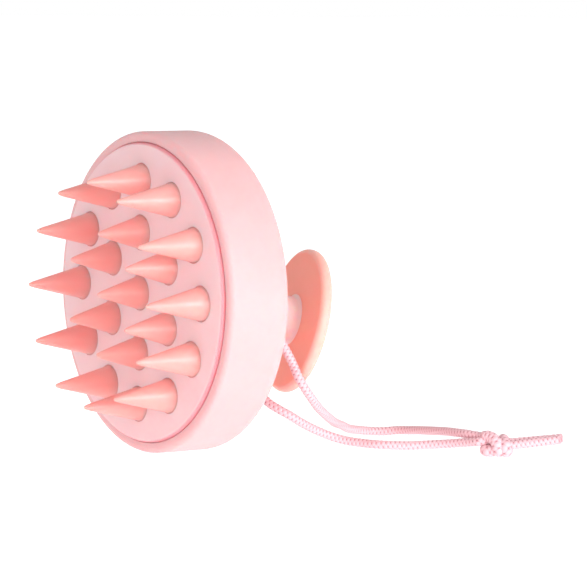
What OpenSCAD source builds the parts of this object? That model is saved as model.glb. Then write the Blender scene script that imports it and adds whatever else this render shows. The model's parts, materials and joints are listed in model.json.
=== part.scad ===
// Round scalp massager brush, standing on its rim with the bristles towards -Y.
// The drum's axis is level and runs along Y. The knob handle is at the back, towards +Y.

/* [Drum] */
// Radius of the round body
drum_r = 40; // [36:0.5:44]
// Depth of the round body from front face to back face
drum_depth = 18.2; // [16:0.2:22]
// Rounding of the front edge
front_round = 1.4; // [0.4:0.2:2]
// Rounding of the back edge
back_round = 4.2; // [2:0.2:6]
// Thickness of the side wall and of the back wall
wall = 2.6; // [2:0.1:3]

/* [Bristle cartridge] */
// Width of the groove between the face plate and the housing rim
seam_gap = 0.2; // [0.2:0.1:0.6]
// How far the face plate stands in front of the housing rim
face_proud = 1; // [0.4:0.1:1.2]
// Thickness of the face plate
face_t = 2.4; // [2:0.2:3]
// Thickness of the face plate's skirt
skirt_t = 1.2; // [1:0.1:1.6]
// Height of the face plate's skirt behind the plate
skirt_h = 6; // [4:0.5:8]
// Thickness of the silicone sheet that carries the bristles
sheet_t = 1.6; // [1:0.2:2]
// Thickness of the hard backing plate
plate_t = 2; // [1.6:0.2:3]

/* [Bristles] */
// Number of bristles in the outer ring
outer_count = 12; // [8:1:14]
// Radius of the outer ring
outer_ring_r = 27.8; // [26:0.2:29]
// Height of an outer bristle above the face plate
outer_h = 15.5; // [10:0.2:20]
// Number of bristles in the inner ring
inner_count = 6; // [4:1:8]
// Radius of the inner ring
inner_ring_r = 15; // [13:0.5:17]
// Height of an inner bristle above the face plate
inner_h = 12.2; // [8:0.2:16]
// Radius of a bristle where it leaves the face plate
bristle_r = 4.2; // [3:0.1:4.4]
// Gap round a bristle in the face plate
bristle_gap = 0.2; // [0.1:0.1:0.4]
// Radius of a bristle's rounded tip
bristle_tip_r = 0.7; // [0.5:0.1:1.5]

/* [Handle] */
// Distance of the neck's root from the drum axis
neck_offset = 4.2; // [0:0.2:6]
// Side of the axis that the handle leans to, from straight up towards +X
handle_side = 134; // [90:1:180]
// Lean of the handle away from the drum axis, in degrees
handle_lean = 18.2; // [0:0.2:20]
// Radius of the neck
neck_r = 5.8; // [5:0.1:7]
// Length of the neck from the back face to the knob's inner face
neck_len = 22.3; // [18:0.1:26]
// Radius of the neck's flare into the knob
flare_r = 1.2; // [0.6:0.2:4]
// Radius of the collar at the neck's root
collar_r = 8.6; // [7:0.2:10]
// Thickness of the collar
collar_t = 1.6; // [1:0.1:2.5]
// Radius of the knob
knob_r = 18.4; // [16:0.2:20]
// Thickness of the knob
knob_t = 3.1; // [3:0.1:5]
// Rounding of the knob's rim
knob_round = 1.4; // [0.8:0.1:1.5]
// Radius of the flat cap in the knob's outer face
cap_r = 14.6; // [12:0.2:15]
// Thickness of the cap
cap_t = 1.4; // [1:0.1:1.6]

/* [Cord] */
// Diameter of the braided cord
cord_d = 2.3; // [1.8:0.1:2.4]
// Diameter of the hole across the neck
cord_hole_d = 3; // [2.8:0.1:4]
// Distance of the hole from the back face, along the neck
cord_hole_h = 9; // [8:0.5:12]
// Turn of the hole about the neck
cord_hole_turn = -45; // [-60:5:-30]

/* [Screws] */
// Number of screws that hold the backing plate to the face plate
screw_count = 4; // [2:2:4]
// Radius of the circle on which the screws sit
screw_ring_r = 21.4; // [20.6:0.2:22.2]
// Radius of a screw's thread
screw_r = 1.2; // [1:0.1:1.5]
// Radius of a screw's head
screw_head_r = 2.4; // [2:0.1:2.8]

/* [Hidden] */
$fn = 96;

shell_colour = [0.98, 0.80, 0.78];
silicone_colour = [0.94, 0.64, 0.62];
knob_colour = [0.97, 0.68, 0.64];
cord_colour = [0.95, 0.62, 0.66];
inner_colour = [0.92, 0.90, 0.88];
steel_colour = [0.72, 0.73, 0.75];

// The front face's place along Y puts the origin under the middle of the object's box.
face_y = -15.2;
slit = 0.1;
over = 1;

inside_r = drum_r - wall;
face_r = inside_r - seam_gap;
face_round = 0.8;
face_back = face_t - face_proud;
sheet_r = face_r - skirt_t - slit;
sheet_back = face_back + sheet_t;
plate_back = sheet_back + plate_t;
ledge_w = 1.6;
back_in = drum_depth - wall;
boss_r = screw_r + 1.2;
screw_bite = 1.6;

handle_screw_grip = 6;
washer_r = 4.5;
washer_t = 0.8;
screw_head_t = 1.8;
recess_depth = cap_t + slit;

cord_r = cord_d / 2;
cord_sides = 8;
cord_stub = neck_r + 0.6;
tail_len = 12.5;
knot_r = 3.1;
knot_len = 7.4;

// The near strand leaves the hole on the +X side and comes down to the surface.
near_route = [
    [13.7, 9.5, 35.5],
    [15.8, 9.4, 35.3],
    [17.6, 9.7, 34.5],
    [19, 10.5, 32.9],
    [19.6, 11.7, 30.8],
    [19.9, 13.2, 28.3],
    [20.9, 16, 22.9],
    [22.3, 16.9, 19.5],
    [22.8, 18.6, 16.7],
    [22, 21.2, 14],
    [20.2, 24.2, 11.6],
    [17.7, 27.9, 9.4],
    [15.1, 31.8, 7.3],
    [12.4, 35.4, 5.7],
    [9.9, 39.3, 4.4],
    [7.8, 43, 3],
    [5.8, 47.6, 2.1],
    [5.1, 51.6, 1.5],
    [6, 55.3, 1.3],
    [8.3, 57.9, 1.7],
    [11.8, 58.9, 2.1],
    [16.2, 58.7, 2.7],
    [21.2, 58.2, 3.3],
    [26.2, 57.7, 3.9],
    [31, 57.3, 4.4],
    [35, 57, 4.7],
    [39.2, 57.1, 4.9],
    [43.6, 58.1, 4.8]
];

// The far strand leaves on the -X side, passes under the neck and runs along the surface.
far_route = [
    [-3.8, 13.5, 34.6],
    [-6, 13.9, 33.6],
    [-7.7, 14.3, 31.6],
    [-8.2, 14.6, 28.9],
    [-7.2, 15, 26.1],
    [-4, 15.5, 22.4],
    [-0.2, 16, 18.8],
    [4, 16.6, 14.9],
    [8.4, 17.2, 11.6],
    [11, 18.8, 10],
    [12.4, 21, 8.6],
    [12.7, 24.2, 6.7],
    [12.5, 28.2, 4.7],
    [12.6, 31.4, 3.3],
    [13.5, 33.8, 2.3],
    [15.4, 36.3, 1.5],
    [18.8, 38.5, 1.2],
    [24, 41.2, 1.2],
    [28.4, 46.6, 1.2],
    [31.8, 50.8, 1.6],
    [35.8, 53.8, 2.2],
    [40.4, 55.6, 3],
    [44.8, 56.6, 3.7]
];

knot_at = [47.7, 60.3, 3.1];
knot_turn = 40;
tail_turn = 15;
tail_lift = 7;
tail_rise = 0.5;
tail_step = 0.2;

// ---- places ----

// Drum frame: local z runs along the drum's axis from the front rim plane towards the back.
module on_axis() {
    translate([0, face_y, drum_r])
        rotate([-90, 0, 0])
            children();
}

// Handle frame: local z runs along the neck from the back face.
module on_handle() {
    on_axis()
        rotate([0, 0, handle_side - 90])
            translate([neck_offset, 0, drum_depth])
                rotate([0, handle_lean, 0])
                    children();
}

// Straight behind the neck's root, square to the back face.
module behind_neck() {
    on_axis()
        rotate([0, 0, handle_side - 90])
            translate([neck_offset, 0, 0])
                children();
}

module ring_of(count, r) {
    for (i = [0 : count - 1])
        rotate([0, 0, -90 + i * 360 / count])
            translate([r, 0, 0])
                children();
}

module bristle_places() {
    children();
    ring_of(inner_count, inner_ring_r)
        children();
    ring_of(outer_count, outer_ring_r)
        children();
}

module screw_places() {
    rotate([0, 0, 180 / screw_count])
        ring_of(screw_count, screw_ring_r)
            children();
}

// ---- profiles, drawn as radius against height ----

function arc(centre, r, from, to, steps = 8) =
    [for (i = [0 : steps]) let (a = from + (to - from) * i / steps)
        centre + r * [cos(a), sin(a)]];

// A bristle is a short post through the face plate and then a cone of height h.
function cone_outline(r, h) =
    let (lean = atan((r - bristle_tip_r) / h), top = face_t + h - bristle_tip_r)
    concat([[0, 0], [r, 0], [r, face_t]], arc([0, top], bristle_tip_r, lean, 90));

// ---- drum ----

// The wall thickens behind the face plate's skirt into a ledge that the skirt stands on.
module housing() {
    ledge = face_back + skirt_h;
    outline = concat(
        [[inside_r, 0]],
        arc([drum_r - front_round, front_round], front_round, -90, 0),
        arc([drum_r - back_round, drum_depth - back_round], back_round, 0, 90),
        [[0, drum_depth], [0, back_in], [inside_r - ledge_w, back_in],
         [inside_r - ledge_w, ledge], [inside_r, ledge]]
    );
    color(shell_colour)
    difference() {
        on_axis()
            rotate_extrude()
                polygon(outline);
        behind_neck()
            translate([0, 0, back_in - over])
                cylinder(h = wall + 2 * over, r = screw_r);
    }
}

// The bristles pass through the plate, and its skirt is welded to the housing's ledge.
module face_plate() {
    skirt_back = face_back + skirt_h;
    outline = concat(
        [[0, -face_proud]],
        arc([face_r - face_round, face_round - face_proud], face_round, -90, 0),
        [[face_r, skirt_back], [face_r - skirt_t, skirt_back],
         [face_r - skirt_t, face_back], [0, face_back]]
    );
    color(shell_colour)
    on_axis()
        difference() {
            union() {
                rotate_extrude()
                    polygon(outline);
                screw_places()
                    translate([0, 0, face_back - slit])
                        cylinder(h = sheet_t + slit, r = boss_r);
            }
            bristle_places()
                translate([0, 0, -face_proud - over])
                    cylinder(h = face_t + 2 * over, r = bristle_r + bristle_gap);
            screw_places()
                translate([0, 0, face_back - screw_bite])
                    cylinder(h = screw_bite + sheet_t + over, r = screw_r);
        }
}

module bristle_sheet() {
    color(silicone_colour)
    on_axis()
        difference() {
            translate([0, 0, face_back])
                cylinder(h = sheet_t, r = sheet_r);
            screw_places()
                translate([0, 0, face_back - over])
                    cylinder(h = sheet_t + 2 * over, r = boss_r + slit);
        }
}

module backing_plate() {
    color(inner_colour)
    on_axis()
        difference() {
            translate([0, 0, sheet_back])
                cylinder(h = plate_t, r = sheet_r);
            screw_places()
                translate([0, 0, sheet_back - over])
                    cylinder(h = plate_t + 2 * over, r = screw_r);
        }
}

module plate_screws() {
    color(steel_colour)
    on_axis()
        screw_places() {
            translate([0, 0, plate_back])
                cylinder(h = screw_head_t, r = screw_head_r);
            translate([0, 0, face_back - screw_bite])
                cylinder(h = plate_back - face_back + screw_bite + slit, r = screw_r);
        }
}

// ---- bristles ----

module bristle(h) {
    translate([0, 0, face_back])
        mirror([0, 0, 1])
            rotate_extrude($fn = 48)
                polygon(cone_outline(bristle_r, h));
}

module centre_bristle() {
    color(silicone_colour)
    on_axis()
        bristle(inner_h);
}

module inner_bristles() {
    color(silicone_colour)
    on_axis()
        ring_of(inner_count, inner_ring_r)
            bristle(inner_h);
}

module outer_bristles() {
    color(silicone_colour)
    on_axis()
        ring_of(outer_count, outer_ring_r)
            bristle(outer_h);
}

// ---- handle ----

module handle_screw() {
    color(steel_colour)
    behind_neck() {
        translate([0, 0, back_in - washer_t - screw_head_t])
            cylinder(h = screw_head_t, r = screw_head_r);
        translate([0, 0, back_in - washer_t - slit])
            cylinder(h = washer_t + slit + wall + handle_screw_grip, r = screw_r);
    }
}

module handle_washer() {
    color(steel_colour)
    behind_neck()
        translate([0, 0, back_in - washer_t])
            difference() {
                cylinder(h = washer_t, r = washer_r);
                translate([0, 0, -over])
                    cylinder(h = washer_t + 2 * over, r = screw_r);
            }
}

// The neck leans, so its root is cut off square along the back face.
module handle_neck() {
    outline = concat(
        [[0, -neck_r], [neck_r, -neck_r]],
        arc([neck_r + flare_r, neck_len - flare_r], flare_r, 180, 90),
        [[0, neck_len]]
    );
    color(knob_colour)
    difference() {
        union() {
            difference() {
                on_handle()
                    rotate_extrude()
                        polygon(outline);
                behind_neck()
                    translate([0, 0, drum_depth - 2 * neck_r])
                        cylinder(h = 2 * neck_r, r = 3 * neck_r);
            }
            behind_neck()
                translate([0, 0, drum_depth])
                    cylinder(h = collar_t, r1 = collar_r, r2 = collar_r - collar_t / 2);
        }
        behind_neck()
            translate([0, 0, drum_depth - over])
                cylinder(h = handle_screw_grip + over, r = screw_r);
        on_handle()
            translate([0, 0, cord_hole_h])
                rotate([0, 0, cord_hole_turn])
                    rotate([0, 90, 0])
                        cylinder(h = 4 * neck_r, r = cord_hole_d / 2, center = true);
    }
}

module knob_disc() {
    round_at = knob_r - knob_round;
    outline = concat(
        [[0, 0]],
        arc([round_at, knob_round], knob_round, -90, 0),
        arc([round_at, knob_t - knob_round], knob_round, 0, 90),
        [[cap_r + slit, knob_t], [cap_r + slit, knob_t - recess_depth], [0, knob_t - recess_depth]]
    );
    color(knob_colour)
    on_handle()
        translate([0, 0, neck_len])
            rotate_extrude()
                polygon(outline);
}

module knob_cap() {
    color(knob_colour)
    on_handle()
        translate([0, 0, neck_len + knob_t - cap_t])
            cylinder(h = cap_t, r = cap_r);
}

// ---- cord ----

function unit(v) = v / norm(v);

function along(path, i) =
    unit(path[min(i + 1, len(path) - 1)] - path[max(i - 1, 0)]);

// A side direction that is carried along the path without twisting.
function across(path, i) =
    i == 0
        ? unit(cross(along(path, 0), [0, 1, 0]))
        : let (t = along(path, i), s = across(path, i - 1)) unit(s - t * (s * t));

function ring(path, i, r, sides) =
    let (t = along(path, i), s = across(path, i), u = cross(t, s))
    [for (k = [0 : sides - 1]) let (a = 360 * k / sides)
        path[i] + r * (cos(a) * s + sin(a) * u)];

module tube(path, r, sides) {
    last = (len(path) - 1) * sides;
    points = [for (i = [0 : len(path) - 1]) each ring(path, i, r, sides)];
    walls = [for (i = [0 : len(path) - 2], k = [0 : sides - 1])
        let (a = i * sides + k, b = i * sides + (k + 1) % sides)
        [b, a, a + sides, b + sides]];
    caps = [
        [for (k = [0 : sides - 1]) k],
        [for (k = [sides - 1 : -1 : 0]) last + k]
    ];
    polyhedron(points = points, faces = concat(walls, caps), convexity = 6);
}

// Middle of the hole across the neck, and the hole's own direction towards +X.
function turn_z(v, a) = [v.x * cos(a) - v.y * sin(a), v.x * sin(a) + v.y * cos(a), v.z];
function turn_y(v, a) = [v.x * cos(a) + v.z * sin(a), v.y, v.z * cos(a) - v.x * sin(a)];
function drum_to_row(v) = [v.x, v.z, -v.y];
function lean_to_row(v) = drum_to_row(turn_z(turn_y(v, handle_lean), handle_side - 90));
hole_mid = [0, face_y + drum_depth, drum_r]
    + drum_to_row(turn_z([neck_offset, 0, 0], handle_side - 90))
    + lean_to_row([0, 0, cord_hole_h]);
hole_way = lean_to_row(turn_z([1, 0, 0], cord_hole_turn));

module cord_in_neck() {
    color(cord_colour)
    on_handle()
        translate([0, 0, cord_hole_h])
            rotate([0, 0, cord_hole_turn])
                rotate([0, 90, 0])
                    cylinder(h = 2 * cord_stub, r = cord_r, center = true, $fn = 24);
}

module cord_near() {
    start = hole_mid + hole_way * cord_stub;
    color(cord_colour)
        tube(concat([start, start + hole_way], near_route), cord_r, cord_sides);
}

module cord_far() {
    start = hole_mid - hole_way * cord_stub;
    color(cord_colour)
        tube(concat([start, start - hole_way], far_route), cord_r, cord_sides);
}

module at_knot() {
    translate(knot_at)
        rotate([0, 0, knot_turn])
            children();
}

module cord_knot() {
    half = knot_len / 2;
    outline = concat(
        [[0, -half]],
        arc([knot_r - cord_r, cord_r - half], cord_r, -90, 0),
        arc([knot_r - cord_r, half - cord_r], cord_r, 0, 90),
        [[0, half]]
    );
    color(cord_colour)
    at_knot()
        rotate([0, 90, 0])
            rotate_extrude($fn = 32)
                polygon(outline);
}

module cord_tails() {
    color(cord_colour)
    at_knot()
        translate([knot_len / 2, 0, tail_rise])
            rotate([0, 90 - tail_lift, tail_turn])
                for (s = [-1, 1])
                    translate([-s * tail_step, s * (cord_r + slit / 2), 0])
                        cylinder(h = tail_len, r = cord_r, $fn = 24);
}

housing();
face_plate();
bristle_sheet();
backing_plate();
plate_screws();
centre_bristle();
inner_bristles();
outer_bristles();
handle_screw();
handle_washer();
handle_neck();
knob_disc();
knob_cap();
cord_in_neck();
cord_near();
cord_far();
cord_knot();
cord_tails();
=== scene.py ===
"""Scalp massager brush: a round body on its rim, cone bristles, a knob and a knotted cord."""
import json
import math

import bmesh
import bpy
from mathutils import Matrix, Vector


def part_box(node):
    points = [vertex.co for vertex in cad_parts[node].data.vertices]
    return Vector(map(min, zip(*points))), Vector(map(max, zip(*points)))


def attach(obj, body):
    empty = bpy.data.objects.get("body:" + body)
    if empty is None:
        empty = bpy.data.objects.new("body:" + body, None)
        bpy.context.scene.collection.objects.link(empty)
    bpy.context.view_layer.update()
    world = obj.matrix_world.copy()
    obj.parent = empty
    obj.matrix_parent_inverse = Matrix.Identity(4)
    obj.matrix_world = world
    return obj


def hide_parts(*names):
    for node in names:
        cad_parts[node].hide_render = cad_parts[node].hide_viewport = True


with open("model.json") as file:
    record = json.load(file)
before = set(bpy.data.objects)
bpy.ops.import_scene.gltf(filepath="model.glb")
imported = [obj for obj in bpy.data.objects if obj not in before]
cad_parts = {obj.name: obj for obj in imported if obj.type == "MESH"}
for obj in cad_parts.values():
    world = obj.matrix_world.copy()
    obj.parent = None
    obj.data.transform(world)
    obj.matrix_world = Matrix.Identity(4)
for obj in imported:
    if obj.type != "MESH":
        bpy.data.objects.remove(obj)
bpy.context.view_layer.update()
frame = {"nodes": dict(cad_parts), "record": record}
RECORD = frame["record"]
MM = 0.001

# ---- places taken from the frame ----

shell_lo, shell_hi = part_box("housing")
DRUM_R = (shell_hi.z - shell_lo.z) / 2 / MM
DRUM_DEPTH = (shell_hi.y - shell_lo.y) / MM
FACE_CENTRE = Vector(((shell_lo.x + shell_hi.x) / 2, shell_lo.y, (shell_lo.z + shell_hi.z) / 2))
KNOB_FACE = next(m for m in RECORD["mounts"] if m["name"] == "knob_face")

# Drum frame: z runs from the front rim plane to the back, in millimetres.
ON_AXIS = (
    Matrix.Translation(FACE_CENTRE) @ Matrix.Rotation(-math.pi / 2, 4, "X") @ Matrix.Scale(MM, 4)
)


def frame_along(origin, z_axis, x_hint):
    """A frame in millimetres with its z axis given and its x axis as near as can be to the hint."""
    z = Vector(z_axis).normalized()
    x = (Vector(x_hint) - z * Vector(x_hint).dot(z)).normalized()
    turn = Matrix((x, z.cross(x), z)).transposed().to_4x4()
    return Matrix.Translation(Vector(origin)) @ turn @ Matrix.Scale(MM, 4)


# Handle frame: z runs along the neck and is 0 on the knob's outer face, in millimetres.
ON_HANDLE = frame_along(KNOB_FACE["pos_m"], KNOB_FACE["axis"], (1, 0, 0))

# ---- sizes, in millimetres ----

FRONT_ROUND = 1.4
BACK_ROUND = 4.2
WALL = 2.6
SEAM_GAP = 0.2
FACE_PROUD = 1.0
FACE_T = 2.4
FACE_ROUND = 0.8
SKIRT_T = 1.2
SKIRT_H = 6.0
LEDGE_W = 1.6
BRISTLE_R = 4.2
BRISTLE_GAP = 0.2
TIP_R = 0.5
# How many bristles a ring has, the ring's radius, and how far its bristles stand out of the face.
OUTER_RING = (12, 27.8, 15.5)
INNER_RING = (6, 15.0, 12.2)
NECK_R = 5.8
NECK_LEN = 22.3
FLARE_R = 1.2
COLLAR_R = 8.6
COLLAR_T = 1.6
KNOB_R = 18.4
KNOB_T = 3.1
KNOB_ROUND = 1.4
CAP_R = 14.6
CAP_T = 1.4
CORD_D = 2.3
CORD_HOLE_D = 3.0
INSIDE_R = DRUM_R - WALL
FACE_R = INSIDE_R - SEAM_GAP
FACE_BACK = FACE_T - FACE_PROUD
SKIRT_BACK = FACE_BACK + SKIRT_H
# The gap between seated pieces, the depth of the seams, and how far a cutter overshoots.
SNUG = 0.02
GROOVE = 0.2
PAST = 1
# How many flat sides stand for a circle.
DRUM_SIDES = 256
HANDLE_SIDES = 160
COLLAR_SIDES = 128
BRISTLE_SIDES = 64
DRILL_SIDES = 48
CORD_SIDES = 32

# ---- camera, in metres but for its lens and sensor ----

LENS = 203.65
SENSOR = 36
CAMERA_AZIMUTH = math.radians(55.44)
CAMERA_ELEVATION = math.radians(6.0)
CAMERA_ROLL = math.radians(1.16)
CAMERA_DISTANCE = 0.8243
FRAME_RIGHT = 0.0374


def make_camera():
    """Looks at the middle of the drum's front rim, moved sideways by FRAME_RIGHT."""
    az, el = CAMERA_AZIMUTH, CAMERA_ELEVATION
    back = Vector((math.sin(az) * math.cos(el), -math.cos(az) * math.cos(el), math.sin(el)))
    level_right = Vector((math.cos(az), math.sin(az), 0))
    level_up = back.cross(level_right)
    right = level_right * math.cos(CAMERA_ROLL) + level_up * math.sin(CAMERA_ROLL)
    up = back.cross(right)
    data = bpy.data.cameras.new("camera")
    data.lens = LENS
    data.sensor_width = SENSOR
    data.clip_start = 0.01
    camera = bpy.data.objects.new("camera", data)
    place = FACE_CENTRE + right * FRAME_RIGHT + back * CAMERA_DISTANCE
    turn = Matrix((right, up, back)).transposed().to_4x4()
    camera.matrix_world = Matrix.Translation(place) @ turn
    bpy.context.scene.collection.objects.link(camera)
    bpy.context.scene.camera = camera


make_camera()

# ---- mesh helpers ----

# Outline points nearer to the axis than this, in millimetres, are one shared point.
POLE = 1e-6


def clamped(value):
    return max(0.0, min(1.0, value))


def add_object(name, mesh):
    made = bpy.data.objects.new(name, mesh)
    bpy.context.scene.collection.objects.link(made)
    return made


def smooth(mesh, angle=35):
    """Shades the mesh round, except over edges sharper than the angle."""
    for polygon in mesh.polygons:
        polygon.use_smooth = True
    mesh.set_sharp_from_angle(angle=math.radians(angle))


def arc(centre, radius, start, end, steps):
    """Outline points along an arc between two angles in degrees."""
    return [
        (centre[0] + radius * math.cos(math.radians(start + (end - start) * i / steps)),
         centre[1] + radius * math.sin(math.radians(start + (end - start) * i / steps)))
        for i in range(steps + 1)
    ]


def lathe(bm, outline, place, segments):
    """Turns (radius, height) points round z. The outline starts and ends on the axis."""
    rings = []
    for radius, height in outline:
        if radius < POLE:
            rings.append([bm.verts.new(place @ Vector((0, 0, height)))] * segments)
        else:
            rings.append([
                bm.verts.new(place @ Vector((radius * math.cos(a), radius * math.sin(a), height)))
                for a in (2 * math.pi * k / segments for k in range(segments))
            ])
    for low, high in zip(rings, rings[1:]):
        for k in range(segments):
            n = (k + 1) % segments
            corners = []
            for v in (low[k], low[n], high[n], high[k]):
                if v not in corners:
                    corners.append(v)
            if len(corners) > 2:
                bm.faces.new(corners)


def turned(name, outline, place, segments):
    bm = bmesh.new()
    lathe(bm, outline, place, segments)
    return finish_mesh(name, bm)


def finish_mesh(name, bm, angle=35):
    bmesh.ops.recalc_face_normals(bm, faces=bm.faces)
    mesh = bpy.data.meshes.new(name)
    bm.to_mesh(mesh)
    bm.free()
    smooth(mesh, angle)
    return add_object(name, mesh)


# ---- paths and braided cord ----

SPAN_STEPS = 24


def curve_through(points, step):
    """An evenly stepped smooth curve through the points, by centripetal Catmull-Rom spans."""
    ends = [points[0] * 2 - points[1], *points, points[-1] * 2 - points[-2]]
    dense = []
    for p0, p1, p2, p3 in zip(ends, ends[1:], ends[2:], ends[3:]):
        t1 = math.sqrt((p1 - p0).length)
        t2 = t1 + math.sqrt((p2 - p1).length)
        t3 = t2 + math.sqrt((p3 - p2).length)
        for i in range(SPAN_STEPS):
            t = t1 + (t2 - t1) * i / SPAN_STEPS
            a1 = p0 * ((t1 - t) / t1) + p1 * (t / t1)
            a2 = p1 * ((t2 - t) / (t2 - t1)) + p2 * ((t - t1) / (t2 - t1))
            a3 = p2 * ((t3 - t) / (t3 - t2)) + p3 * ((t - t2) / (t3 - t2))
            b1 = a1 * ((t2 - t) / t2) + a2 * (t / t2)
            b2 = a2 * ((t3 - t) / (t3 - t1)) + a3 * ((t - t1) / (t3 - t1))
            dense.append(b1 * ((t2 - t) / (t2 - t1)) + b2 * ((t - t1) / (t2 - t1)))
    dense.append(points[-1].copy())
    return evenly(dense, step)


def evenly(dense, step):
    """Points a step apart along a line of denser points."""
    lengths = [0.0]
    for a, b in zip(dense, dense[1:]):
        lengths.append(lengths[-1] + (b - a).length)
    count = max(2, round(lengths[-1] / step))
    result, j = [], 0
    for i in range(count + 1):
        want = lengths[-1] * i / count
        while j < len(dense) - 2 and lengths[j + 1] < want:
            j += 1
        span = lengths[j + 1] - lengths[j]
        result.append(dense[j].lerp(dense[j + 1], (want - lengths[j]) / span if span else 0))
    return result


# Strands each way, the length of a strand's full turn, the depth of the pits between strands, and
# the length over which the whole plait turns once.
BRAID_STRANDS = 3
BRAID_LAY = 3.4 * MM
BRAID_DEPTH = 0.2 * MM
BRAID_TWIST = 55.0 * MM
CORD_STEP = 0.14 * MM
# A cut end is melted smooth over this length and takes this tone, between pits and crowns.
MELT_LENGTH = 0.9 * MM
MELT_TONE = 0.36


def braid_height(around, along):
    """0 in the valleys and 1 on the crowns of a round plait; around and along count strands."""
    a, b = around + along, around - along
    fa, fb = a - math.floor(a), b - math.floor(b)
    over = 1 if (math.floor(a) + math.floor(b)) % 2 == 0 else -1
    round_a = math.sqrt(max(0.0, 1 - (2 * fa - 1) ** 2))
    round_b = math.sqrt(max(0.0, 1 - (2 * fb - 1) ** 2))
    lift_a = 0.5 + 0.5 * over * math.sin(math.pi * fb)
    lift_b = 0.5 - 0.5 * over * math.sin(math.pi * fa)
    return max(round_a * lift_a, round_b * lift_b)


def braided_tube(name, path, radius, first=0, last=None, scales=None, melted=False):
    """The plaited cord between two steps of the path. The plait runs on from piece to piece."""
    last = len(path) - 1 if last is None else last
    bm = bmesh.new()
    layer = bm.verts.layers.float.new("braid")
    side = (path[1] - path[0]).orthogonal().normalized()
    rings, travelled = [], 0.0
    for i in range(last + 1):
        tangent = (path[min(i + 1, len(path) - 1)] - path[max(i - 1, 0)]).normalized()
        side = (side - tangent * side.dot(tangent)).normalized()
        other = tangent.cross(side)
        if i:
            travelled += (path[i] - path[i - 1]).length
        if i < first:
            continue
        scale = scales[i] if scales else 1.0
        melt = clamped(1 - (last - i) * CORD_STEP / MELT_LENGTH) if melted else 0.0
        ring = []
        for k in range(CORD_SIDES):
            angle = 2 * math.pi * k / CORD_SIDES
            turned_by = k / CORD_SIDES + travelled / BRAID_TWIST
            height = braid_height(BRAID_STRANDS * turned_by, BRAID_STRANDS * travelled / BRAID_LAY)
            reach = (radius - BRAID_DEPTH * (1 - height) * (1 - melt)) * scale
            way = side * math.cos(angle) + other * math.sin(angle)
            vert = bm.verts.new(path[i] + way * reach)
            vert[layer] = height + (MELT_TONE - height) * melt
            ring.append(vert)
        rings.append(ring)
    for low, high in zip(rings, rings[1:]):
        for k in range(CORD_SIDES):
            n = (k + 1) % CORD_SIDES
            bm.faces.new((low[k], low[n], high[n], high[k]))
    bm.faces.new(list(reversed(rings[0])))
    bm.faces.new(rings[-1])
    return finish_mesh(name, bm, angle=80)


# ---- cord ----

NECK_ROOT = -(KNOB_T + NECK_LEN)
CORD_STUB = NECK_R + 0.6
LOOK_BACK = 12


def cord_ends(node):
    """Middles of a straight cord's two end faces, the one towards -X first."""
    corners = [v.co for v in frame["nodes"][node].data.vertices]
    middle = sum(corners, Vector()) / len(corners)
    ends = []
    for side in (-1, 1):
        mine = [c for c in corners if (c - middle).x * side > 0]
        ends.append(sum(mine, Vector()) / len(mine))
    return ends


hole_left, hole_right = cord_ends("cord_in_neck")
HOLE_MID = (hole_left + hole_right) / 2
HOLE_WAY = (hole_right - hole_left).normalized()

NEAR_ROUTE = [
    (13.7, 9.5, 35.5), (15.8, 9.4, 35.3), (17.6, 9.7, 34.5), (19, 10.5, 32.9), (19.6, 11.7, 30.8),
    (19.9, 13.2, 28.3), (20.9, 16, 22.9), (22.3, 16.9, 19.5), (22.8, 18.6, 16.7), (22, 21.2, 14),
    (20.2, 24.2, 11.6), (17.7, 27.9, 9.4), (15.1, 31.8, 7.3), (12.4, 35.4, 5.7), (9.9, 39.3, 4.4),
    (7.8, 43, 3), (5.8, 47.6, 2.1), (5.1, 51.6, 1.5), (6, 55.3, 1.3), (8.3, 57.9, 1.7),
    (11.8, 58.9, 2.1), (16.2, 58.7, 2.7), (21.2, 58.2, 3.3), (26.2, 57.7, 3.9), (31, 57.3, 4.4),
    (35, 57, 4.7), (39.2, 57.1, 4.9), (43.6, 58.1, 4.8),
]
FAR_ROUTE = [
    (-3.8, 13.5, 34.6), (-6, 13.9, 33.6), (-7.7, 14.3, 31.6), (-8.2, 14.6, 28.9), (-7.2, 15, 26.1),
    (-4, 15.5, 22.4), (-0.2, 16, 18.8), (4, 16.6, 14.9), (8.4, 17.2, 11.6), (11, 18.8, 10),
    (12.4, 21, 8.6), (12.7, 24.2, 6.7), (12.5, 28.2, 4.7), (12.6, 31.4, 3.3), (13.5, 33.8, 2.3),
    (15.4, 36.3, 1.5), (18.8, 38.5, 1.2), (24, 41.2, 1.2), (28.4, 46.6, 1.2), (31.8, 50.8, 1.6),
    (35.8, 53.8, 2.2), (40.4, 55.6, 3), (44.8, 56.6, 3.7),
]


def strand_path(route, side):
    """A strand's middle line, from the neck's hole to the knot. The route is in millimetres."""
    start = HOLE_MID + HOLE_WAY * (side * CORD_STUB * MM)
    first = start + HOLE_WAY * (side * MM)
    return curve_through([start, first, *(Vector(p) * MM for p in route)], CORD_STEP)


near_path = strand_path(NEAR_ROUTE, 1)
far_path = strand_path(FAR_ROUTE, -1)

# ---- knot and tails ----

# Sizes are in millimetres. The cord swells in the wraps, which stand for two strands side by side,
# and is squeezed inside the knot. Cut ends flare a little and are rounded off.
KNOT_TURN = math.radians(40)
TAIL_TURN = math.radians(-15)
TAIL_LIFT = math.radians(7)
TAIL_LEN = 12.5
KNOT_HALF = 3.7
KNOT_FADE = 0.9
WRAP_SWELL = 1.36
CORE_R = 1.5
CORE_SQUEEZE = 0.7
END_FLARE, END_FLARE_LEN = 0.08, 1.2
END_ROUND, END_ROUND_LEN = 0.45, 0.35
knot_lo, knot_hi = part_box("cord_knot")
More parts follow.
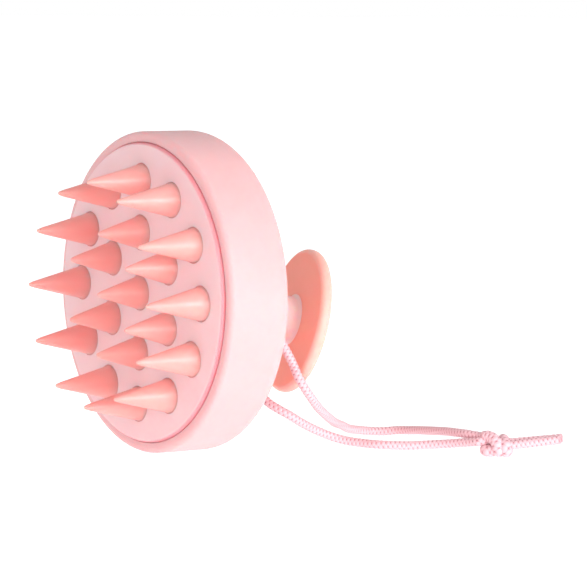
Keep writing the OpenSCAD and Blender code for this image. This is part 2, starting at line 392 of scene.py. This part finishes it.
# Knot frame, in millimetres: x runs along the knot to the tails, y towards the front, z up.
ON_KNOT = (
    Matrix.Translation((knot_lo + knot_hi) / 2) @ Matrix.Rotation(KNOT_TURN, 4, "Z")
    @ Matrix.Scale(-1, 4, (0, 1, 0)) @ Matrix.Scale(MM, 4)
)
# The near strand comes in over the top, goes down the front twice from left to right, comes back
# behind and low, turns in at the left and passes through the middle to become a tail.
WRAPPED_ROUTE = [
    (-3.4, 0, 2.05), (-2.3, 0.5, 2), (-1.1, 1.1, 1.75), (-0.1, 1.8, 1.1), (0.5, 2.15, 0),
    (0.7, 1.8, -1.2), (0.7, 0.5, -1.44), (0.7, -1.1, -1.44), (0.8, -2, -0.5), (1, -1.9, 0.6),
    (1.3, -0.9, 1.2), (1.8, 0.4, 1.05), (2.3, 1.4, 0.4), (2.5, 1.8, -0.5), (2.5, 1, -1.44),
    (2.4, -0.4, -1.44), (2, -1.9, -1.44), (0.8, -3, -1.4), (-0.8, -3, -1.4), (-2.2, -2.4, -1.44),
    (-3, -1.2, -1.44), (-3.1, 0.2, -1.44), (-2.3, 1.2, -1.44), (-1.1, 1.2, -1.4),
    (-0.1, 0.5, -0.9), (0.8, 0, -0.3), (1.7, -0.3, 0.1), (2.5, -0.8, 0.45),
]
THROUGH_ROUTE = [
    (-3.3, 0.7, 0.85), (-2.2, 0.2, 0.5), (-0.8, -0.3, 0.2), (1.2, 0.3, 0), (2.5, 0.9, 0.2),
]
TAIL_STARTS = (Vector((KNOT_HALF, -1.19, 0.65)), Vector((KNOT_HALF, 1.19, 0.25)))
TAIL_WAY = Vector((
    math.cos(TAIL_TURN) * math.cos(TAIL_LIFT),
    math.sin(TAIL_TURN) * math.cos(TAIL_LIFT),
    math.sin(TAIL_LIFT),
))


def whole_path(strand, route, start, settle):
    """The strand's path carried on through the knot and along its tail, which settles a little."""
    tail = [start + TAIL_WAY * (TAIL_LEN * t) + Vector((0, 0, settle * t))
            for t in (0, 0.25, 0.5, 0.75, 1)]
    local = [Vector(p) for p in route] + tail
    lead_in = [strand[-LOOK_BACK], strand[-1]]
    carried = curve_through(lead_in + [ON_KNOT @ p for p in local], CORD_STEP)
    joint = min(range(len(carried)), key=lambda i: (carried[i] - strand[-1]).length)
    path = strand + carried[joint + 1:]
    leaves = min(range(len(path)), key=lambda i: (path[i] - ON_KNOT @ start).length)
    return path, leaves


def cord_scales(path, strand):
    """How thick the cord is at each step: swollen in the wraps, squeezed in the knot's core."""
    to_knot = ON_KNOT.inverted()
    scales = []
    for i, point in enumerate(path):
        place = to_knot @ point
        in_knot = clamped((KNOT_HALF - abs(place.x)) / KNOT_FADE) if i > len(strand) else 0.0
        core = clamped((CORE_R - math.hypot(place.y, place.z)) / KNOT_FADE)
        to_end = (len(path) - 1 - i) * CORD_STEP / MM
        flare = (END_FLARE * clamped(1 - to_end / END_FLARE_LEN)
                 - END_ROUND * clamped(1 - to_end / END_ROUND_LEN) ** 2)
        packed = WRAP_SWELL + (CORE_SQUEEZE - WRAP_SWELL) * core
        scales.append(1 + (packed - 1) * in_knot + flare)
    return scales


def make_cord(strand, route, start, settle, names):
    """One cord in three pieces: its strand, its part of the knot and its tail."""
    path, leaves = whole_path(strand, route, start, settle)
    scales = cord_scales(path, strand)
    enters = len(strand) - 1
    spans = ((0, enters), (enters, leaves), (leaves, len(path) - 1))
    return [braided_tube(name, path, CORD_D / 2 * MM, first, last, scales, name.startswith("tail"))
            for name, (first, last) in zip(names, spans)]


near_strand, knot_wraps, tail_a = make_cord(
    near_path, WRAPPED_ROUTE, TAIL_STARTS[0], settle=-0.15,
    names=("cord_strand_near", "knot_wraps", "tail_upper"),
)
far_strand, knot_core, tail_b = make_cord(
    far_path, THROUGH_ROUTE, TAIL_STARTS[1], settle=0.15,
    names=("cord_strand_far", "knot_core", "tail_lower"),
)
neck_path = evenly([far_path[0], near_path[0]], CORD_STEP)
neck_strand = braided_tube("cord_strand_in_neck", neck_path, CORD_D / 2 * MM)

for piece, node in ((near_strand, "cord_near"), (far_strand, "cord_far"),
                    (neck_strand, "cord_in_neck"),
                    (knot_wraps, "cord_knot"), (knot_core, "cord_knot"),
                    (tail_a, "cord_tails"), (tail_b, "cord_tails")):
    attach(piece, "root")
    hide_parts(node)

# ---- body, face plate and bristles ----

FLAT = 0.9999
BACK_RING_R = 12
# The face plate is painted with shade, a deeper pink, over this width at its edge, and by this much
# round its holes.
SEAM_SHADE_W = 0.6
SEAM_SHADE_FADE = 0.4
HOLE_SHADE = 0.8


def make_shell():
    """The drum's side and back in one, with the ledge that the face plate's skirt stands on."""
    lip = 0.2
    back_in = DRUM_DEPTH - WALL
    outline = (
        [(0, back_in), (INSIDE_R - LEDGE_W, back_in)]
        + [(INSIDE_R - LEDGE_W, SKIRT_BACK), (INSIDE_R, SKIRT_BACK)]
        + arc((INSIDE_R + lip, lip), lip, 180, 270, 6)
        + arc((DRUM_R - FRONT_ROUND, FRONT_ROUND), FRONT_ROUND, -90, 0, 12)
        + arc((DRUM_R - BACK_ROUND, DRUM_DEPTH - BACK_ROUND), BACK_ROUND, 0, 90, 20)
        + [(BACK_RING_R, DRUM_DEPTH), (0, DRUM_DEPTH)]
    )
    return turned("shell", outline, ON_AXIS, DRUM_SIDES)


def bristle_places():
    """Turns and moves that put each bristle on the face, by group."""
    groups = {"bristle_centre": [Matrix.Identity(4)]}
    for name, ring in (("bristles_inner", INNER_RING), ("bristles_outer", OUTER_RING)):
        count, ring_r = ring[:2]
        outwards = Matrix.Translation((ring_r, 0, 0))
        groups[name] = [
            Matrix.Rotation(math.radians(-90 + i * 360 / count), 4, "Z") @ outwards
            for i in range(count)
        ]
    return groups


PLACES = bristle_places()
ALL_PLACES = [place for group in PLACES.values() for place in group]


def cut_away(target, tool):
    """Cuts the tool's shape out of the target and leaves faces square to the drum's axis flat."""
    modifier = target.modifiers.new("cut", "BOOLEAN")
    modifier.operation = "DIFFERENCE"
    modifier.solver = "EXACT"
    modifier.object = tool
    depsgraph = bpy.context.evaluated_depsgraph_get()
    cut = bpy.data.meshes.new_from_object(target.evaluated_get(depsgraph))
    target.modifiers.clear()
    target.data = cut
    smooth(cut)
    for polygon in cut.polygons:
        if abs(polygon.normal.y) > FLAT:
            polygon.use_smooth = False
    bpy.data.objects.remove(tool)


def mark_points(made, name, local, measure):
    """Stores on every point what measure says of its place in the local frame, from 0 to 1."""
    marks = made.data.attributes.new(name, "FLOAT", "POINT")
    to_local = local.inverted()
    for vert, mark in zip(made.data.vertices, marks.data):
        mark.value = clamped(measure(to_local @ vert.co))


def make_face():
    """The hard plate round the bristles. A rib behind its rounded edge makes the seam shallow."""
    rib = INSIDE_R - SNUG
    outline = (
        [(0, -FACE_PROUD)]
        + arc((FACE_R - FACE_ROUND, FACE_ROUND - FACE_PROUD), FACE_ROUND, -90, 0, 8)
        + [(FACE_R, GROOVE), (rib, GROOVE + SEAM_GAP), (rib, FACE_BACK)]
        + [(FACE_R, FACE_BACK + SEAM_GAP), (FACE_R, SKIRT_BACK)]
        + [(FACE_R - SKIRT_T, SKIRT_BACK), (FACE_R - SKIRT_T, FACE_BACK)]
        + [(0, FACE_BACK)]
    )
    plate = turned("face_cover", outline, ON_AXIS, DRUM_SIDES)
    lip = 0.15
    hole_r = BRISTLE_R + BRISTLE_GAP
    # The cutter widens towards the front along a quarter circle.
    hole = (
        [(0, -FACE_PROUD - PAST), (hole_r + lip, -FACE_PROUD - PAST)]
        + arc((hole_r + lip, lip - FACE_PROUD), lip, -90, -180, 6)
        + [(hole_r, FACE_BACK + PAST), (0, FACE_BACK + PAST)]
    )
    bm = bmesh.new()
    for place in ALL_PLACES:
        lathe(bm, hole, ON_AXIS @ place, BRISTLE_SIDES)
    cut_away(plate, finish_mesh("hole_cutters", bm))
    to_holes = [place.inverted() for place in ALL_PLACES]

    def painted_shade_of(point):
        """Painted shade, a deeper pink, on the plate's outer edge and round its holes."""
        at_edge = (math.hypot(point.x, point.y) - FACE_R + SEAM_SHADE_W) / SEAM_SHADE_FADE
        from_hole = min(math.hypot((way @ point).x, (way @ point).y) for way in to_holes)
        return max(at_edge, HOLE_SHADE * (hole_r + lip - from_hole) / lip)

    # The "deep" mark holds painted shade for the seam and for the lips of the holes.
    mark_points(plate, "deep", ON_AXIS, painted_shade_of)
    return plate


def bristle_outline(height):
    """A post that fills its hole and then a cone, as (radius, height above the face)."""
    lean = math.degrees(math.atan((BRISTLE_R - TIP_R) / height))
    slope = (BRISTLE_R - TIP_R) / height
    top = height - TIP_R
    shoulder = 0.5
    slices = 14
    snug_r = BRISTLE_R + BRISTLE_GAP - SNUG
    post = [(0, -FACE_T), (snug_r, -FACE_T), (snug_r, -GROOVE), (BRISTLE_R, BRISTLE_GAP - GROOVE),
            (BRISTLE_R, 0)]
    heights = [shoulder + (top - shoulder) * k / slices for k in range(slices)]
    body = [(BRISTLE_R - slope * h, h) for h in heights]
    return post + body + arc((0, top), TIP_R, lean, 89, 8) + [(0, height)]


def bristle_group(name, height):
    to_front = Matrix.Translation((0, 0, -FACE_PROUD)) @ Matrix.Scale(-1, 4, (0, 0, 1))
    bm = bmesh.new()
    for place in PLACES[name]:
        lathe(bm, bristle_outline(height), ON_AXIS @ place @ to_front, BRISTLE_SIDES)
    return finish_mesh(name, bm)


shell = make_shell()
face = make_face()
outer = bristle_group("bristles_outer", OUTER_RING[2])
inner = bristle_group("bristles_inner", INNER_RING[2])
centre = bristle_group("bristle_centre", INNER_RING[2])

# ---- handle ----

# The neck is made longer by ROOT_EXTRA, and cut off ROOT_SEAT inside the drum's back.
ROOT_EXTRA = 4
ROOT_SEAT = 1
INNER_FACE_RINGS = (10.5, 12.5, 14.5)
RECESS_GAP = 0.1
RECESS_BEVEL = 0.2
DRILL_LEN = 4 * NECK_R
# Painted light: how much paler the silicone is made on the neck and on the knob's rim, from 0 to 1.
# The neck's points are those below NECK_END.
NECK_PAINTED_LIGHT = 0.85
RIM_PAINTED_LIGHT = 0.25
RIM_FADE = 0.3 * KNOB_ROUND
NECK_END = -KNOB_T - 0.1


def make_handle():
    """Neck and knob in one, with a recess for the cap and a hole for the cord."""
    inner_face = -KNOB_T
    start = NECK_ROOT - ROOT_EXTRA
    outline = (
        [(0, start)]
        + [(NECK_R, start + k) for k in range(int(NECK_LEN - FLARE_R + ROOT_EXTRA))]
        + arc((NECK_R + FLARE_R, inner_face - FLARE_R), FLARE_R, 180, 90, 14)
        + [(radius, inner_face) for radius in INNER_FACE_RINGS]
        + arc((KNOB_R - KNOB_ROUND, inner_face + KNOB_ROUND), KNOB_ROUND, -90, 0, 12)
        + arc((KNOB_R - KNOB_ROUND, -KNOB_ROUND), KNOB_ROUND, 0, 90, 12)
        + [(CAP_R + RECESS_GAP + RECESS_BEVEL, 0), (CAP_R + RECESS_GAP, -RECESS_BEVEL)]
        + [(CAP_R + RECESS_GAP, -CAP_T - RECESS_GAP), (0, -CAP_T - RECESS_GAP)]
    )
    bm = bmesh.new()
    lathe(bm, outline, ON_HANDLE, HANDLE_SIDES)
    cut = FACE_CENTRE + Vector((0, (DRUM_DEPTH - ROOT_SEAT) * MM, 0))
    found = bmesh.ops.bisect_plane(bm, geom=bm.verts[:] + bm.edges[:] + bm.faces[:], dist=1e-7,
                                   plane_co=cut, plane_no=(0, 1, 0), clear_inner=True)
    edges = [e for e in found["geom_cut"] if isinstance(e, bmesh.types.BMEdge)]
    bmesh.ops.holes_fill(bm, edges=edges, sides=0)
    made = finish_mesh("handle", bm)
    drill(made, HOLE_MID, HOLE_WAY, CORD_HOLE_D / 2 * MM, DRILL_LEN * MM)
    return made


def paint_handle_light(made):
    """Marks painted light as paler silicone: much on the neck, a little on the knob's rim."""
    def painted_light_at(place):
        if place.z < NECK_END:
            return NECK_PAINTED_LIGHT
        return RIM_PAINTED_LIGHT * clamped((math.hypot(place.x, place.y) - KNOB_R + KNOB_ROUND) / RIM_FADE)

    # Painted light: paler silicone stands for the light that falls on the neck and the rim.
    mark_points(made, "painted_light", ON_HANDLE, painted_light_at)


def drill(target, middle, way, radius, length):
    """Cuts a round hole through the target."""
    bm = bmesh.new()
    place = Matrix.Translation(middle) @ way.to_track_quat("Z", "Y").to_matrix().to_4x4()
    bmesh.ops.create_cone(bm, cap_ends=True, segments=DRILL_SIDES, radius1=radius, radius2=radius,
                          depth=length, matrix=place)
    cut_away(target, finish_mesh("drill", bm))


def make_collar():
    """The round foot of the neck on the drum's back."""
    root = ON_HANDLE @ Vector((0, 0, NECK_ROOT))
    place = frame_along((root.x, FACE_CENTRE.y + DRUM_DEPTH * MM, root.z), (0, 1, 0), (1, 0, 0))
    edge = 0.7
    outline = (
        [(0, 0), (COLLAR_R, 0)]
        + arc((COLLAR_R - edge, COLLAR_T - edge), edge, 0, 90, 8)
        + [(0, COLLAR_T)]
    )
    return turned("collar", outline, place, COLLAR_SIDES)


def make_cap():
    """The flat cap that closes the knob's outer face."""
    edge = 0.3
    outline = (
        [(0, -CAP_T), (CAP_R, -CAP_T)]
        + arc((CAP_R - edge, -edge), edge, 0, 90, 6)
        + [(8, 0), (0, 0)]
    )
    return turned("knob_cap_disc", outline, ON_HANDLE, HANDLE_SIDES)


handle = make_handle()
collar = make_collar()
cap = make_cap()
# Paints light on the neck, the collar and the knob's rim as paler silicone.
for piece in (handle, collar):
    paint_handle_light(piece)

# ---- materials ----

# Most values of a noise lie between these two.
NOISE_LOW = 0.3
NOISE_HIGH = 0.7
PALE_SCATTER = (1.0, 0.35, 0.28)


class Nodes:
    """A material's node tree, with short calls to add and join nodes."""

    def __init__(self, name):
        self.material = bpy.data.materials.new(name)
        self.material.use_nodes = True
        self.tree = self.material.node_tree
        self.shader = self.tree.nodes["Principled BSDF"]
        self.place = self.add("ShaderNodeTexCoord").outputs["Object"]

    def add(self, kind, **settings):
        node = self.tree.nodes.new(kind)
        for key, value in settings.items():
            setattr(node, key, value)
        return node

    def join(self, source, target):
        self.tree.links.new(source, target)

    def noise(self, scale, detail=4.0, roughness=0.5):
        node = self.add("ShaderNodeTexNoise")
        node.inputs["Scale"].default_value = scale
        node.inputs["Detail"].default_value = detail
        node.inputs["Roughness"].default_value = roughness
        self.join(self.place, node.inputs["Vector"])
        return node.outputs["Fac"]

    def ramp(self, source, stops):
        node = self.add("ShaderNodeValToRGB")
        node.color_ramp.elements[0].position, node.color_ramp.elements[0].color = stops[0]
        node.color_ramp.elements[1].position, node.color_ramp.elements[1].color = stops[-1]
        for position, colour in stops[1:-1]:
            node.color_ramp.elements.new(position).color = colour
        self.join(source, node.inputs["Fac"])
        return node.outputs["Color"]

    def bump(self, height, strength, distance, normal=None):
        node = self.add("ShaderNodeBump")
        node.inputs["Strength"].default_value = strength
        node.inputs["Distance"].default_value = distance
        self.join(height, node.inputs["Height"])
        if normal:
            self.join(normal, node.inputs["Normal"])
        return node.outputs["Normal"]

    def between(self, noise, low, high):
        """A colour that goes from low to high with a noise."""
        return self.ramp(noise, [(NOISE_LOW, (*low, 1)), (NOISE_HIGH, (*high, 1))])

    def grey(self, noise, low, high):
        return self.between(noise, (low, low, low), (high, high, high))

    def overlay(self, mark, colour):
        """Lays a colour over the base colour where the points' mark is higher."""
        base = self.shader.inputs["Base Color"]
        tint = base.links[0].from_socket
        mix = self.add("ShaderNodeMixRGB")
        mix.inputs["Color2"].default_value = (*colour, 1)
        marks = self.add("ShaderNodeAttribute", attribute_name=mark)
        self.join(marks.outputs["Fac"], mix.inputs["Fac"])
        self.join(tint, mix.inputs["Color1"])
        self.join(mix.outputs["Color"], base)


def set_sockets(shader, **values):
    for key, value in values.items():
        shader.inputs[key.replace("_", " ")].default_value = value


def silicone(name, colour, deep, scatter, reach, roughness, shine=0.5):
    """Soft matt silicone: light soaks in and comes out warmer, with fine moulding grain."""
    nodes = Nodes(name)
    nodes.join(nodes.between(nodes.noise(90, 3), deep, colour), nodes.shader.inputs["Base Color"])
    nodes.join(nodes.grey(nodes.noise(700, 4), roughness - 0.05, roughness + 0.07),
               nodes.shader.inputs["Roughness"])
    grain = nodes.bump(nodes.noise(9000, 3, 0.6), 0.12, 0.00005)
    waves = nodes.bump(nodes.noise(260, 2), 0.1, 0.0002, grain)
    nodes.join(waves, nodes.shader.inputs["Normal"])
    set_sockets(nodes.shader, Subsurface_Weight=1.0, Subsurface_Scale=reach,
                Subsurface_Radius=scatter, IOR=1.43, Specular_IOR_Level=shine)
    return nodes


def knob_silicone():
    """Silicone that lets a little light through, made paler by painted light where its mark is
    higher, with a faint painted red glow.
    """
    nodes = silicone("knob_pink", (0.99, 0.44, 0.34), (0.98, 0.41, 0.31),
                     scatter=(1.0, 0.24, 0.17), reach=0.0015, roughness=0.42)
    # Painted light: the neck, the collar and the knob's rim are made paler.
    nodes.overlay("painted_light", (0.98, 0.82, 0.85))
    # A faint painted glow: the emission stands for warm light coming through the knob and bounced
    # off the drum's back.
    set_sockets(nodes.shader, Emission_Color=(1.0, 0.28, 0.18, 1), Emission_Strength=0.07)
    return nodes


def face_silicone():
    """The face plate's surface, with painted shade in a deeper pink where the "deep" mark is
    higher.
    """
    nodes = silicone("face_pink", (0.91, 0.62, 0.64), (0.90, 0.60, 0.62),
                     scatter=PALE_SCATTER, reach=0.0012, roughness=0.55)
    # Painted shade along the seam and round the holes.
    nodes.overlay("deep", (0.86, 0.33, 0.37))
    return nodes


def braid_material():
    """Pink plaited yarn, darkened by painted shade only in the pits between the strands."""
    nodes = Nodes("cord_braid")
    braid = nodes.add("ShaderNodeAttribute", attribute_name="braid").outputs["Fac"]
    # Painted shade: darkest in the pits between the strands, the yarn's own pink on the crowns.
    tint = nodes.ramp(braid, [
        (0.16, (0.12, 0.04, 0.07, 1)),
        (MELT_TONE, (0.68, 0.30, 0.34, 1)),
        (0.62, (0.88, 0.56, 0.61, 1)),
    ])
    nodes.join(tint, nodes.shader.inputs["Base Color"])
    fibre = nodes.bump(nodes.noise(6000, 2, 0.7), 0.3, 0.00008)
    nodes.join(fibre, nodes.shader.inputs["Normal"])
    nodes.join(nodes.grey(nodes.noise(1500, 2), 0.3, 0.48), nodes.shader.inputs["Roughness"])
    set_sockets(nodes.shader, Sheen_Weight=0.2, Sheen_Roughness=0.4)
    return nodes.material


def plain_plastic(name, colour, deep, roughness):
    """Satin moulded plastic for the parts inside."""
    nodes = Nodes(name)
    nodes.join(nodes.between(nodes.noise(120, 3), deep, colour), nodes.shader.inputs["Base Color"])
    nodes.join(nodes.grey(nodes.noise(900, 3), roughness - 0.06, roughness + 0.06),
               nodes.shader.inputs["Roughness"])
    nodes.join(nodes.bump(nodes.noise(5000, 3), 0.15, 0.00005), nodes.shader.inputs["Normal"])
    return nodes.material


def turned_steel(name):
    """Zinc plated steel with fine streaks of wear."""
    nodes = Nodes(name)
    nodes.join(nodes.between(nodes.noise(400, 4), (0.52, 0.53, 0.55), (0.66, 0.66, 0.68)),
               nodes.shader.inputs["Base Color"])
    nodes.join(nodes.grey(nodes.noise(2500, 4), 0.25, 0.42), nodes.shader.inputs["Roughness"])
    nodes.join(nodes.bump(nodes.noise(8000, 2), 0.2, 0.00003), nodes.shader.inputs["Normal"])
    set_sockets(nodes.shader, Metallic=1.0)
    return nodes.material


def floor_material():
    """A white table lit softly from within, so that the brush casts hardly any shadow on it."""
    nodes = Nodes("floor_white")
    nodes.join(nodes.grey(nodes.noise(3, 2), 0.47, 0.49), nodes.shader.inputs["Base Color"])
    set_sockets(nodes.shader, Roughness=0.7, Emission_Color=(1, 1, 1, 1), Emission_Strength=0.82)
    return nodes.material


SHELL_PINK = silicone("shell_pink", (0.85, 0.50, 0.51), (0.84, 0.48, 0.49),
                      scatter=PALE_SCATTER, reach=0.0012, roughness=0.5).material
FACE_PINK = face_silicone().material
BRISTLE_PINK = silicone("bristle_pink", (0.94, 0.42, 0.39), (0.93, 0.39, 0.36),
                        scatter=(1.0, 0.22, 0.17), reach=0.0040, roughness=0.38,
                        shine=0.7).material
KNOB_PINK = knob_silicone().material
INNER_WHITE = plain_plastic("inner_white", (0.86, 0.83, 0.79), (0.82, 0.79, 0.75), 0.5)
STEEL = turned_steel("screw_zinc")
BRAID = braid_material()


def dress(piece, material, slot, *nodes):
    """Gives a piece its material, and says which CAD nodes it replaces. The slot argument is not
    used.
    """
    piece.data.materials.clear()
    piece.data.materials.append(material)
    if nodes:
        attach(piece, "root")
        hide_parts(*nodes)


dress(shell, SHELL_PINK, "shell_plastic", "housing")
dress(face, FACE_PINK, "shell_plastic", "face_plate")
dress(outer, BRISTLE_PINK, "silicone", "outer_bristles")
dress(inner, BRISTLE_PINK, "silicone", "inner_bristles")
dress(centre, BRISTLE_PINK, "silicone", "centre_bristle")
dress(handle, KNOB_PINK, "knob_plastic", "handle_neck", "knob_disc")
dress(collar, KNOB_PINK, "knob_plastic")
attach(collar, "root")
dress(cap, KNOB_PINK, "knob_plastic", "knob_cap")
for piece in (near_strand, far_strand, neck_strand, knot_wraps, knot_core, tail_a, tail_b):
    dress(piece, BRAID, "cord_braid")


def finish_node(name, material):
    """Gives a CAD node that stays as it is a better material."""
    node = frame["nodes"][name]
    node.data.materials.clear()
    node.data.materials.append(material)


finish_node("bristle_sheet", BRISTLE_PINK)
finish_node("backing_plate", INNER_WHITE)
for name in ("plate_screws", "handle_screw", "handle_washer"):
    finish_node(name, STEEL)

# ---- floor, light and background ----


def make_floor():
    half = 4.0
    bm = bmesh.new()
    signs = ((-1, -1), (1, -1), (1, 1), (-1, 1))
    bm.faces.new([bm.verts.new((x * half, y * half, 0)) for x, y in signs])
    floor = finish_mesh("floor", bm)
    floor.data.materials.append(floor_material())


def area_light(name, azimuth, elevation, distance, size, power):
    """A square soft box that faces the brush. Azimuth 0 is in front of the bristles, 90 at +X."""
    az, el = math.radians(azimuth), math.radians(elevation)
    way = Vector((math.sin(az) * math.cos(el), -math.cos(az) * math.cos(el), math.sin(el)))
    data = bpy.data.lights.new(name, "AREA")
    data.shape = "SQUARE"
    data.size = size
    data.energy = power
    lamp = bpy.data.objects.new(name, data)
    lamp.location = FACE_CENTRE + way * distance
    lamp.rotation_mode = "QUATERNION"
    lamp.rotation_quaternion = way.to_track_quat("Z", "Y")
    bpy.context.scene.collection.objects.link(lamp)


FILL_STRENGTH = 0.6


def make_world():
    """White behind the brush, and a weaker white light from all round."""
    world = bpy.data.worlds.new("studio")
    bpy.context.scene.world = world
    world.use_nodes = True
    nodes, links = world.node_tree.nodes, world.node_tree.links
    seen = nodes["Background"]
    seen.inputs["Strength"].default_value = 1.0
    seen.inputs["Color"].default_value = (1, 1, 1, 1)
    fill = nodes.new("ShaderNodeBackground")
    fill.inputs["Color"].default_value = (1, 1, 1, 1)
    fill.inputs["Strength"].default_value = FILL_STRENGTH
    mix = nodes.new("ShaderNodeMixShader")
    ray = nodes.new("ShaderNodeLightPath")
    links.new(ray.outputs["Is Camera Ray"], mix.inputs["Fac"])
    links.new(fill.outputs["Background"], mix.inputs[1])
    links.new(seen.outputs["Background"], mix.inputs[2])
    links.new(mix.outputs["Shader"], nodes["World Output"].inputs["Surface"])


make_floor()
make_world()
area_light("key", azimuth=98, elevation=4, distance=0.9, size=0.45, power=8.6)
area_light("front", azimuth=30, elevation=8, distance=0.9, size=0.6, power=1.5)
bpy.context.scene.view_settings.view_transform = "Standard"
